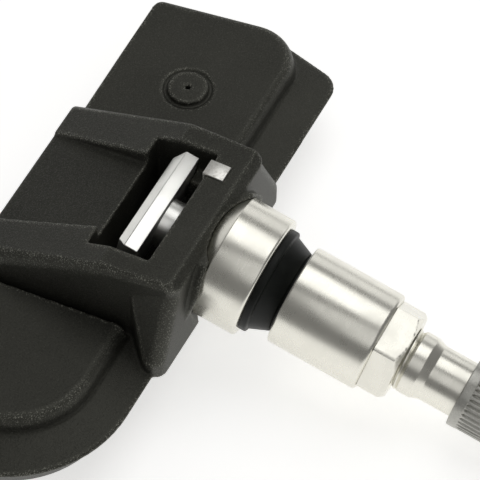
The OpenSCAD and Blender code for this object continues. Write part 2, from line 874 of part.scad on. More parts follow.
// Coil spring round the pin, one swept tube with flat ends
spring_sides = 6;
spring_steps = 12;
function spring_ring(k) =
    let (steps = spring_turns * spring_steps, turn = 360 * spring_turns * k / steps,
        mid = spring_foot + spring_wire_r + (spring_top - spring_foot - 2 * spring_wire_r) * k / steps)
    [for (s = [0:spring_sides - 1]) let (side = 360 * s / spring_sides, r = spring_r + spring_wire_r * cos(side))
        [r * cos(turn), r * sin(turn), mid + spring_wire_r * sin(side)]];
module core_spring() {
    rings = spring_turns * spring_steps + 1;
    points = [for (k = [0:rings - 1]) each spring_ring(k)];
    sides = [for (k = [0:rings - 2]) for (s = [0:spring_sides - 1]) let (t = (s + 1) % spring_sides)
        [k * spring_sides + s, k * spring_sides + t, (k + 1) * spring_sides + t, (k + 1) * spring_sides + s]];
    first_end = [for (s = [0:spring_sides - 1]) spring_sides - 1 - s];
    last_end = [for (s = [0:spring_sides - 1]) (rings - 1) * spring_sides + s];
    color(steel)
        along_valve()
            polyhedron(points = points, faces = concat([first_end], sides, [last_end]));
}

// Ribbed cap: a smooth band at its open end, then straight ribs
cap_band = 1.5;
cap_bore = tip_r + 0.12;
cap_bevel = 0.8;
rib_step = 360 / cap_ribs;
rib_root_r = cap_r - cap_groove;
rib_tip_r = cap_r - 0.05;
rib_end = cap_start + cap_len - cap_bevel + 0.02;
module ribs() {
    intersection() {
        translate([0, 0, cap_start + cap_band - 0.3])
            linear_extrude(rib_end - cap_start - cap_band + 0.3)
                polygon([for (i = [0:cap_ribs - 1])
                    for (p = [[rib_root_r - 0.1, -0.32], [rib_tip_r, -0.2], [rib_tip_r, 0.2], [rib_root_r - 0.1, 0.32]])
                        [p[0] * cos((i + p[1]) * rib_step), p[0] * sin((i + p[1]) * rib_step)]]);
        rotate_extrude()
            polygon([[0, cap_start], [cap_r + 0.1, cap_start], [cap_r + 0.1, rib_end - cap_groove - 0.3],
                [rib_root_r - 0.2, rib_end], [0, rib_end]]);
    }
}

module valve_cap() {
    color([0.5, 0.5, 0.47])
        along_valve()
            difference() {
                union() {
                    rotate_extrude()
                        polygon([[0, cap_start], [cap_r - 0.15, cap_start], [cap_r, cap_start + 0.15],
                            [cap_r, cap_start + cap_band], [rib_root_r, cap_start + cap_band + 0.3],
                            [rib_root_r, cap_start + cap_len - cap_bevel],
                            [rib_root_r - cap_bevel, cap_start + cap_len], [0, cap_start + cap_len]]);
                    ribs();
                }
                rotate_extrude()
                    polygon([[0, cap_start - past], [cap_bore + 0.25, cap_start - past],
                        [cap_bore + 0.25, tip_start + 0.4], [cap_bore, tip_start + 0.65],
                        [cap_bore, cap_roof], [tip_r - 0.1, cap_roof], [tip_r - 0.1, cap_roof + seal_t],
                        [0, cap_roof + seal_t]]);
            }
}

// Soft ring in the cap's roof, which closes on the stem's end
seal_t = 0.8;
module cap_seal() {
    color(rubber)
        valve_ring(tip_r - 0.15, core_pin_r + 0.5, cap_roof, cap_roof + seal_t);
}

housing();
base_cover();
circuit_board();
coin_cell();
cell_tab_top();
cell_tab_bottom();
pressure_chip();
port_seal();
radio_chip();
antenna_coil();
quartz_crystal();
capacitors();
contact_clip();
valve_stem();
hollow_bolt();
grommet();
thrust_washer();
valve_nut();
core_barrel();
core_ring();
core_pin();
core_cup();
core_spring();
valve_cap();
cap_seal();
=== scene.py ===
"""Looks of a clamp-in tyre pressure sensor: a black moulded housing on an aluminium valve.

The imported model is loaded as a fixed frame. Turned pieces are spun anew with rounded edges and
threads, the housing is a softened copy of its solid, and every piece gets a procedural finish.
Lengths are in metres, except where a class or a function says millimetres.
"""

import logging
import math
from dataclasses import dataclass
from enum import Enum
from typing import Any, Iterable, Protocol, Sequence

import bmesh
import bpy
import numpy as np
from mathutils import Matrix, Vector


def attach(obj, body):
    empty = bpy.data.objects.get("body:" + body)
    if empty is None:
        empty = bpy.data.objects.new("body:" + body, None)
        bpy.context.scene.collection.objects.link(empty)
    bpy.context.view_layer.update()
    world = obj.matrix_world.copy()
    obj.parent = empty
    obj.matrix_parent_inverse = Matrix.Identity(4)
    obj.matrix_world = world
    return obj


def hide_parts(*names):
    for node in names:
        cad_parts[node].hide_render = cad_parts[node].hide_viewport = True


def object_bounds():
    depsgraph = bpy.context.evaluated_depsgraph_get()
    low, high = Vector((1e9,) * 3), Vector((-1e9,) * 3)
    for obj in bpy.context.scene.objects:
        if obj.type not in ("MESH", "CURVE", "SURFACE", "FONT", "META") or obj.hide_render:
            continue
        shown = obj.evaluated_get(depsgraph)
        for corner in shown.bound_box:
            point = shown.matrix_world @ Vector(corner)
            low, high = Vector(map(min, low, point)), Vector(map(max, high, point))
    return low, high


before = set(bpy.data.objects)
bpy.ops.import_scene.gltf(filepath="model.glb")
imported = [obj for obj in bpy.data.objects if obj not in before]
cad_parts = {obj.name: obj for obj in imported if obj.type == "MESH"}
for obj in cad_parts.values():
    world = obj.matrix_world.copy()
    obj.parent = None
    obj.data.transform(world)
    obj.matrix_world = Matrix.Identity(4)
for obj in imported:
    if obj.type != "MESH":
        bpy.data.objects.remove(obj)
CAD_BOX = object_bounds()

MM = 0.001
LOG = logging.getLogger("tyre_pressure_sensor")

Colour = tuple[float, float, float]
Span = tuple[float, float]


class Body(Enum):
    """The moving bodies that the scene's own pieces ride on."""

    VALVE = "valve"
    SENSOR = "sensor"
    NUT = "nut"
    CAP = "cap"


# ---------------------------------------------------------------------------
# Shader maths
# ---------------------------------------------------------------------------


class Wire:
    """A number that varies over a surface; Python's operators on it add Math nodes."""

    def __init__(self, sheet: "ShaderSheet", socket: bpy.types.NodeSocket) -> None:
        """Hold an output socket and the sheet that it is on."""
        self.sheet = sheet
        self.socket = socket

    def _math(self, operation: str, *values: "Wire | float") -> "Wire":
        """Return a Math node's result for the values."""
        return self.sheet.node("ShaderNodeMath", {"operation": operation}, dict(enumerate(values))).wire()

    def __add__(self, other: "Wire | float") -> "Wire":
        """Return self + other."""
        return self._math("ADD", self, other)

    __radd__ = __add__

    def __sub__(self, other: "Wire | float") -> "Wire":
        """Return self - other."""
        return self._math("SUBTRACT", self, other)

    def __rsub__(self, other: "Wire | float") -> "Wire":
        """Return other - self."""
        return self._math("SUBTRACT", other, self)

    def __mul__(self, other: "Wire | float") -> "Wire":
        """Return self * other."""
        return self._math("MULTIPLY", self, other)

    __rmul__ = __mul__

    def above(self, low: float, high: float) -> "Wire":
        """Return 0 below low and 1 above high, with a smooth step between them."""
        values = {"Value": self, "From Min": low, "From Max": high, "To Min": 0.0, "To Max": 1.0}
        return self.sheet.node("ShaderNodeMapRange", {"interpolation_type": "SMOOTHSTEP"}, values).wire("Result")

    def clamped(self) -> "Wire":
        """Return the number held between 0 and 1."""
        return self.sheet.node("ShaderNodeClamp", {}, {"Value": self}).wire()


class Made:
    """A node that was just made, with a short way to its outputs."""

    def __init__(self, sheet: "ShaderSheet", node: bpy.types.Node) -> None:
        """Hold a node and the sheet that it is on."""
        self.sheet = sheet
        self.node = node

    def wire(self, output: "str | int" = 0) -> Wire:
        """Return one output as a Wire."""
        return Wire(self.sheet, self.node.outputs[output])


class ShaderSheet:
    """A material's node sheet, filled by one node-making method."""

    MIX_LOW, MIX_HIGH, MIX_RESULT = 6, 7, 2

    def __init__(self, name: str) -> None:
        """Start an empty sheet.

        Args:
            name: The material's name.
        """
        self.material = bpy.data.materials.new(name)
        self.material.use_nodes = True
        self.tree = self.material.node_tree
        self.tree.nodes.clear()

    def node(self, kind: str, settings: dict[str, Any], values: "dict[str | int, Any]") -> Made:
        """Add one node.

        Args:
            kind: The node's type.
            settings: Its settings, which are set before its sockets.
            values: Its input sockets by name or number, each a number, a colour, a vector or a Wire.

        Returns:
            The node, wrapped.
        """
        made = self.tree.nodes.new(kind)
        for key, value in settings.items():
            setattr(made, key, value)
        for key, value in values.items():
            if isinstance(value, Wire):
                self.tree.links.new(value.socket, made.inputs[key])
            else:
                made.inputs[key].default_value = value
        return Made(self, made)

    def place(self, turn: "Matrix | None" = None) -> Wire:
        """Add the object coordinates.

        Args:
            turn: A matrix that they are taken through, such as one that lays +Z along the valve.

        Returns:
            The coordinates.
        """
        where = self.node("ShaderNodeTexCoord", {}, {}).wire("Object")
        if turn is None:
            return where
        settings = {"vector_type": "POINT"}
        values = {"Vector": where, "Location": turn.to_translation(), "Rotation": turn.to_euler()}
        return self.node("ShaderNodeMapping", settings, values).wire()

    def noise(self, where: Wire, size: float, detail: float = 2.0, rough: float = 0.5) -> Wire:
        """Return noise whose grains are about size metres."""
        values = {"Vector": where, "Scale": 1.0 / size, "Detail": detail, "Roughness": rough}
        return self.node("ShaderNodeTexNoise", {}, values).wire(0)

    def stretched(self, where: Wire, scale: Sequence[float]) -> Wire:
        """Return a place with its axes scaled, for lines and streaks."""
        values = {"Vector": where, "Scale": scale}
        return self.node("ShaderNodeMapping", {"vector_type": "POINT"}, values).wire()

    def blend(self, mask: Wire, low: Colour, high: Colour) -> Wire:
        """Return a colour between low and high by the mask."""
        values = {"Factor": mask, self.MIX_LOW: (*low, 1.0), self.MIX_HIGH: (*high, 1.0)}
        return self.node("ShaderNodeMix", {"data_type": "RGBA"}, values).wire(self.MIX_RESULT)

    def shade(self, colour: Wire, constants: dict[str, Any], varying: dict[str, Wire],
              height: "Wire | None" = None, depth: float = 0.0) -> bpy.types.Material:
        """Close the sheet with a Principled shader.

        Args:
            colour: The base colour.
            constants: Sockets that are the same all over.
            varying: Sockets that vary: Roughness or Emission Color.
            height: What the surface's bumps follow, from 0 to 1.
            depth: The bumps' height in metres.

        Returns:
            The finished material.
        """
        values = {"Base Color": colour, **constants, **varying}
        if height is not None:
            bump = self.node("ShaderNodeBump", {}, {"Strength": 1.0, "Distance": depth, "Height": height})
            values["Normal"] = bump.wire()
        shader = self.node("ShaderNodeBsdfPrincipled", {}, values)
        output = self.node("ShaderNodeOutputMaterial", {}, {})
        self.tree.links.new(shader.node.outputs[0], output.node.inputs[0])
        return self.material


# ---------------------------------------------------------------------------
# Finishes
# ---------------------------------------------------------------------------


@dataclass(frozen=True)
class ValveLine:
    """Where the valve's axis lies in the row's frame."""

    tilt: float = math.radians(12.0)
    rim_station: float = 5.4 * MM

    def place(self) -> Matrix:
        """Return the matrix that stands a piece made along +Z from the collar's face on the valve."""
        down = Matrix.Translation((0, 0, -self.rim_station))
        return Matrix.Rotation(math.pi / 2 + self.tilt, 4, "X") @ down

    def unturn(self) -> Matrix:
        """Return the matrix that takes the row's frame back to the valve's own."""
        return self.place().inverted()


AXIS = ValveLine()


@dataclass(frozen=True)
class MouldedPlastic:
    """Glass-filled plastic from a spark-eroded mould, with pale specks all over, and a painted speckled highlight
    along its convex edges where the edges flag is on.
    """

    name: str
    tone: Colour = (0.003, 0.003, 0.0023)
    # The lighter colour of the random mottle and specks, and of the painted edge highlight.
    mottle_and_highlight: Colour = (0.27, 0.27, 0.23)
    rough: float = 0.48
    grain: float = 0.26 * MM
    depth: float = 0.05 * MM
    spread: float = 0.14
    edges: bool = False
    cloud: float = 9 * MM
    speck: float = 0.17 * MM
    speck_cut: Span = (0.57, 0.66)
    sheen: float = 0.5
    sheen_tint: Colour = (1.0, 1.0, 0.86)

    def material(self) -> bpy.types.Material:
        """Lay out the plastic's nodes.

        Returns:
            The plastic's material.
        """
        sheet = ShaderSheet(self.name)
        where = sheet.place()
        fine = sheet.noise(where, self.grain, 3.0, 0.6)
        cloud = sheet.noise(where, self.cloud, 2.0, 0.5)
        speck = sheet.noise(where, self.speck, 1.0, 0.5).above(*self.speck_cut)
        mask = ((fine - 0.5) * 2.0 + (cloud - 0.5) * 0.8 + 0.42).clamped() * self.spread + speck * 0.1
        # Lighten convex edges: a painted speckled highlight where the edges catch the light.
        if self.edges:
            edge = sheet.node("ShaderNodeAttribute", {"attribute_name": "edge"}, {}).wire("Fac")
            mask = mask + edge * (0.06 + speck * 0.8)
        colour = sheet.blend(mask.clamped(), self.tone, self.mottle_and_highlight)
        rough = self.rough + (fine - 0.5) * 0.18 + (cloud - 0.5) * 0.1
        height = fine * 0.7 + speck * 0.5
        constants = {"Specular IOR Level": self.sheen, "Specular Tint": (*self.sheen_tint, 1.0)}
        return sheet.shade(colour, constants, {"Roughness": rough}, height, self.depth)


@dataclass(frozen=True)
class TurnedMetal:
    """Metal from the lathe: fine rings round the valve's axis and a faint satin cloud."""

    name: str
    tone: Colour = (0.82, 0.805, 0.73)
    dull: Colour = (0.75, 0.735, 0.665)
    rough: float = 0.28
    spots: float = 0.35
    ring: float = 0.11 * MM
    depth: float = 0.0007 * MM
    cloud: float = 2.6 * MM
    pit: float = 0.35 * MM
    pit_cut: Span = (0.62, 0.74)
    across: Sequence[float] = (0.02, 0.02, 1.0)

    def material(self) -> bpy.types.Material:
        """Lay out the metal's nodes.

        Returns:
            The metal's material.
        """
        sheet = ShaderSheet(self.name)
        where = sheet.place(AXIS.unturn())
        rings = sheet.noise(sheet.stretched(where, self.across), self.ring, 3.0, 0.65)
        cloud = sheet.noise(where, self.cloud, 3.0, 0.55)
        pits = sheet.noise(where, self.pit, 2.0, 0.5).above(*self.pit_cut) * self.spots
        colour = sheet.blend(((cloud - 0.35) * 0.9 + pits * 0.4).clamped(), self.tone, self.dull)
        rough = self.rough + (rings - 0.5) * 0.07 + (cloud - 0.5) * 0.16 + pits * 0.08
        height = rings * 0.8 - pits * 0.5
        return sheet.shade(colour, {"Metallic": 1.0}, {"Roughness": rough}, height, self.depth)


@dataclass(frozen=True)
class RolledStrip:
    """Sheet metal: tinned, plated or plain, with streaks along X and a mottle."""

    name: str
    tone: Colour = (0.84, 0.83, 0.79)
    dull: Colour = (0.60, 0.585, 0.54)
    rough: float = 0.38
    mottle: float = 0.42 * MM
    streak: float = 0.12 * MM
    along: Sequence[float] = (0.08, 1.0, 1.0)
    depth: float = 0.02 * MM

    def material(self) -> bpy.types.Material:
        """Lay out the strip's nodes.

        Returns:
            The strip's material.
        """
        sheet = ShaderSheet(self.name)
        where = sheet.place()
        spots = sheet.noise(where, self.mottle, 3.0, 0.6)
        streaks = sheet.noise(sheet.stretched(where, self.along), self.streak, 2.0, 0.5)
        mask = ((spots - 0.42) * 3.2 + (streaks - 0.5) * 0.5).clamped()
        colour = sheet.blend(mask, self.tone, self.dull)
        rough = self.rough + (spots - 0.5) * 0.3
        height = spots + streaks * 0.3
        return sheet.shade(colour, {"Metallic": 0.9}, {"Roughness": rough}, height, self.depth)


@dataclass(frozen=True)
class SealRubber:
    """Moulded seal rubber: nearly black, soft sheen and a very fine skin."""

    name: str
    tone: Colour = (0.003, 0.004, 0.003)
    bloom: Colour = (0.009, 0.011, 0.0085)
    rough: float = 0.45
    skin: float = 0.12 * MM
    cloud: float = 1.8 * MM
    sheen: float = 0.22
    depth: float = 0.012 * MM

    def material(self) -> bpy.types.Material:
        """Lay out the rubber's nodes.

        Returns:
            The rubber's material.
        """
        sheet = ShaderSheet(self.name)
        where = sheet.place()
        skin = sheet.noise(where, self.skin, 2.0, 0.5)
        cloud = sheet.noise(where, self.cloud, 3.0, 0.6)
        colour = sheet.blend(((cloud - 0.4) * 2.2).clamped(), self.tone, self.bloom)
        rough = self.rough + (cloud - 0.5) * 0.25 + (skin - 0.5) * 0.1
        return sheet.shade(colour, {"Specular IOR Level": self.sheen}, {"Roughness": rough}, skin, self.depth)


@dataclass(frozen=True)
class MetallicPlastic:
    """Grey cap plastic with metal flakes in it, drawn out along the valve."""

    name: str
    tone: Colour = (0.42, 0.415, 0.38)
    bright: Colour = (0.62, 0.615, 0.57)
    rough: float = 0.34
    flake: float = 0.14 * MM
    draw: float = 0.5 * MM
    along: Sequence[float] = (1.0, 1.0, 0.12)
    depth: float = 0.006 * MM

    def material(self) -> bpy.types.Material:
        """Lay out the cap plastic's nodes.

        Returns:
            The cap's material.
        """
        sheet = ShaderSheet(self.name)
        where = sheet.place(AXIS.unturn())
        flakes = sheet.noise(where, self.flake, 2.0, 0.6)
        draw = sheet.noise(sheet.stretched(where, self.along), self.draw, 2.0, 0.5)
        mask = ((flakes - 0.42) * 2.6 + (draw - 0.5) * 0.6).clamped()
        colour = sheet.blend(mask, self.tone, self.bright)
        rough = self.rough + (draw - 0.5) * 0.22
        constants = {"Metallic": 0.55, "Coat Roughness": 0.2, "Coat Weight": 0.2}
        return sheet.shade(colour, constants, {"Roughness": rough}, flakes, self.depth)


@dataclass(frozen=True)
class BoardMask:
    """Green solder mask with copper tracks that show through it as lighter lines."""

    name: str
    tone: Colour = (0.012, 0.085, 0.035)
    track: Colour = (0.03, 0.17, 0.07)
    pitch: float = 1.3 * MM
    track_edge: Span = (0.10, 0.16)
    gloss: float = 2 * MM
    depth: float = 0.03 * MM

    def material(self) -> bpy.types.Material:
        """Lay out the board's nodes.

        Returns:
            The board's material.
        """
        sheet = ShaderSheet(self.name)
        where = sheet.place()
        lines = {"Vector": where, "Scale": 1.0 / self.pitch, "Randomness": 0.35}
        cells = sheet.node("ShaderNodeTexVoronoi", {"feature": "DISTANCE_TO_EDGE"}, lines).wire("Distance")
        tracks = 1.0 - cells.above(*self.track_edge)
        rough = 0.3 + sheet.noise(where, self.gloss, 2.0, 0.5) * 0.15
        colour = sheet.blend(tracks, self.tone, self.track)
        return sheet.shade(colour, {"Coat Weight": 0.4}, {"Roughness": rough}, tracks, self.depth)


class Finishes:
    """Every finish of the sensor, each made into a material once."""

    def __init__(self) -> None:
        """Make all the materials: the plastics, the turned metals, the strips and the rest."""
        plastic, metal, strip = MouldedPlastic, TurnedMetal, RolledStrip
        # The housing's convex edges get a painted highlight.
        self.housing = plastic("housing_moulding", edges=True).material()
        self.cover = plastic("cover_moulding", (0.006, 0.006, 0.005), grain=0.3 * MM).material()
        self.chip = plastic(
            "chip_moulding", (0.02, 0.02, 0.022), (0.05, 0.05, 0.055), 0.45, spread=0.6).material()
        self.ferrite = plastic(
            "ferrite", (0.05, 0.035, 0.03), (0.10, 0.075, 0.06), 0.6, spread=0.8).material()
        self.ceramic = plastic(
            "capacitor_ceramic", (0.40, 0.27, 0.15), (0.52, 0.37, 0.22), 0.5, spread=0.8).material()
        self.ring = plastic(
            "core_ring_plastic", (0.80, 0.80, 0.77), (0.88, 0.88, 0.86), 0.4, spread=0.8).material()
        self.aluminium = metal("turned_aluminium").material()
        self.bolt = metal("bolt_aluminium", (0.93, 0.93, 0.89), (0.87, 0.87, 0.83), 0.34, 0.1).material()
        self.washer = metal("washer_steel", (0.60, 0.59, 0.57), (0.48, 0.47, 0.45), 0.3).material()
        self.brass = metal("turned_brass", (0.72, 0.53, 0.24), (0.55, 0.39, 0.17), 0.25).material()
        self.spring = metal("spring_wire", (0.56, 0.56, 0.56), (0.45, 0.45, 0.45), 0.25).material()
        self.tin = strip("tinned_strip").material()
        self.cell = strip("cell_plating", (0.66, 0.66, 0.64), (0.56, 0.56, 0.54), 0.28, 1.5 * MM).material()
        self.tab = strip("tab_strip", (0.66, 0.64, 0.6), (0.5, 0.48, 0.44), 0.33, 0.8 * MM).material()
        self.rubber = SealRubber("seal_rubber").material()
        self.cap = MetallicPlastic("cap_plastic").material()
        self.board = BoardMask("board_mask").material()


# ---------------------------------------------------------------------------
# Mesh work
# ---------------------------------------------------------------------------


@dataclass(frozen=True)
class Corner:
    """One corner of a turned profile: its radius and station in mm, and its rounding."""

    radius: float
    station: float
    fillet: float = 0.0

    def point(self) -> Vector:
        """Return the corner's place in metres, in the XZ plane."""
        return Vector((self.radius, 0, self.station)) * MM


@dataclass(frozen=True)
class Screw:
    """A thread in mm: its outer radius, its ridge's height, its pitch and the stations of its ends."""

    radius: float
    height: float
    pitch: float
    ends: Span


@dataclass(frozen=True)
class Lathe:
    """Spins profiles and winds threads about +Z."""

    steps: int = 96
    chords: int = 4
    edge_share: float = 0.48
    weld: float = 1e-7
    wind_steps: int = 40
    lost_turns: float = 0.8
    thread_weld: float = 1e-8

    def rounded(self, corners: Sequence[Corner]) -> list[Vector]:
        """Round every corner of a closed profile as it says.

        Args:
            corners: The profile's corners in order.

        Returns:
            Points in metres in the XZ plane.
        """
        points: list[Vector] = []
        for i, corner in enumerate(corners):
            here = corner.point()
            if corner.fillet <= 0:
                points.append(here)
                continue
            back = corners[i - 1].point() - here
            on = corners[(i + 1) % len(corners)].point() - here
            reach = min(corner.fillet * MM / math.tan(back.angle(on) / 2),
                        self.edge_share * back.length, self.edge_share * on.length)
            start, end = here + back.normalized() * reach, here + on.normalized() * reach
            for k in range(self.chords + 1):
                t = k / self.chords
                points.append(start * (1 - t) ** 2 + here * 2 * t * (1 - t) + end * t ** 2)
        return points

    def spin(self, corners: Sequence[Corner]) -> bmesh.types.BMesh:
        """Spin a closed profile a full turn about +Z.

        Args:
            corners: The profile's corners in order; the profile may touch the axis.

        Returns:
            The closed solid of revolution.
        """
        bm = bmesh.new()
        ring = [bm.verts.new(p) for p in self.rounded(corners)]
        pairs = [(ring[i], ring[(i + 1) % len(ring)]) for i in range(len(ring))]
        edges = [bm.edges.new(pair) for pair in pairs if max(v.co.x for v in pair) > 0]
        bmesh.ops.spin(bm, geom=ring + edges, cent=(0, 0, 0), axis=(0, 0, 1), angle=math.tau,
                       steps=self.steps, use_merge=True)
        bmesh.ops.remove_doubles(bm, verts=bm.verts[:], dist=self.weld)
        bmesh.ops.recalc_face_normals(bm, faces=bm.faces[:])
        return bm

    def thread(self, screw: Screw) -> bmesh.types.BMesh:
        """Wind a thread's ridge round a shank.

        Args:
            screw: The thread's sizes.

        Returns:
            The wound ridge, closed at its ends.
        """
        bm = bmesh.new()
        start, end = screw.ends
        turns = (end - start) / screw.pitch - self.lost_turns
        foot = screw.radius - screw.height
        crest = screw.radius - 0.08 * screw.height
        sunk = foot - 0.1
        shape = [(sunk, -0.46), (foot, -0.44), (crest, -0.07), (crest, 0.07), (foot, 0.44), (sunk, 0.46)]
        points = [Vector((r, 0, start + screw.pitch * (z + 0.5))) * MM for r, z in shape]
        face = bm.faces.new([bm.verts.new(point) for point in points])
        steps = int(turns * self.wind_steps)
        bmesh.ops.spin(bm, geom=[face], cent=(0, 0, 0), axis=(0, 0, 1), angle=math.tau * turns,
                       dvec=(0, 0, screw.pitch * MM * turns / steps), steps=steps, use_merge=False)
        bmesh.ops.remove_doubles(bm, verts=bm.verts[:], dist=self.thread_weld)
        bmesh.ops.recalc_face_normals(bm, faces=bm.faces[:])
        return bm


@dataclass
class Workshop:
    """Turns meshes into finished pieces that ride on the model."""

    finishes: Finishes
    weld: float = 2e-6
    flat_angle: float = math.radians(1.0)
    keen_angle: float = math.radians(30.0)

    @staticmethod
    def joined(parts: Iterable[bmesh.types.BMesh]) -> bmesh.types.BMesh:
        """Put several meshes into one.

        Args:
            parts: The meshes, which are freed.

        Returns:
            One bmesh that holds every given one.
        """
        whole = bmesh.new()
        for part in parts:
            carrier = bpy.data.meshes.new("carrier")
            part.to_mesh(carrier)
            part.free()
            whole.from_mesh(carrier)
            bpy.data.meshes.remove(carrier)
        return whole

    def piece(self, name: str, bm: bmesh.types.BMesh, body: Body, material: bpy.types.Material,
              stands_for: Sequence[str], place: "Matrix | None" = None,
              sharp: float = 40.0) -> None:
        """Make a finished object from a bmesh.

        Args:
            name: The piece's name.
            bm: Its mesh, which is freed.
            body: The body it rides on.
            material: Its finish.
            stands_for: The CAD nodes that it replaces.
            place: A transform into the row's frame.
            sharp: Edges that turn more than this many degrees stay sharp.
        """
        if place is not None:
            bmesh.ops.transform(bm, matrix=place, verts=bm.verts[:])
        mesh = bpy.data.meshes.new(name)
        bm.to_mesh(mesh)
        bm.free()
        mesh.materials.append(material)
        mesh.shade_smooth()
        mesh.set_sharp_from_angle(angle=math.radians(sharp))
        obj = bpy.data.objects.new(name, mesh)
        bpy.context.scene.collection.objects.link(obj)
        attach(obj, body.value)
        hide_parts(*stands_for)
        LOG.info("%s: %d faces, rides on %s", name, len(mesh.polygons), body.value)

    def merged_copy(self, node: str) -> bmesh.types.BMesh:
        """Copy a CAD node's mesh and join its loose triangles.

        Args:
            node: The CAD node's name.

        Returns:
            The copy.
        """
        bm = bmesh.new()
        bm.from_mesh(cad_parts[node].data)
        bmesh.ops.remove_doubles(bm, verts=bm.verts[:], dist=self.weld)
        return bm

    def softened(self, node: str, width: float, segments: int) -> bmesh.types.BMesh:
        """Copy a CAD node and round its sharp edges.

        Args:
            node: The CAD node's name.
            width: The rounding's width in mm.
            segments: Facets across a rounded edge.

        Returns:
            The softened mesh.
        """
        bm = self.merged_copy(node)
        bmesh.ops.dissolve_limit(bm, angle_limit=self.flat_angle, verts=bm.verts[:], edges=bm.edges[:])
        keen = [e for e in bm.edges if len(e.link_faces) == 2 and e.calc_face_angle(0) > self.keen_angle]
        bmesh.ops.bevel(bm, geom=keen, offset=width * MM, offset_type="OFFSET", affect="EDGES",
                        segments=segments, profile=0.5, clamp_overlap=True, material=-1)
        bmesh.ops.recalc_face_normals(bm, faces=bm.faces[:])
        return bm

    @staticmethod
    def dress(node: str, material: bpy.types.Material) -> None:
        """Give a CAD node that stays its finish.

        Args:
            node: The CAD node's name.
            material: Its finish.
        """
        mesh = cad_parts[node].data
        mesh.materials.clear()
        mesh.materials.append(material)
        LOG.info("%s: CAD node dressed with %s", node, material.name)


# ---------------------------------------------------------------------------
# Sub-assemblies
# ---------------------------------------------------------------------------


class Builder(Protocol):
    """A sub-assembly that can build itself."""

    def build(self, shop: Workshop) -> None:
        """Make and dress the sub-assembly's pieces."""


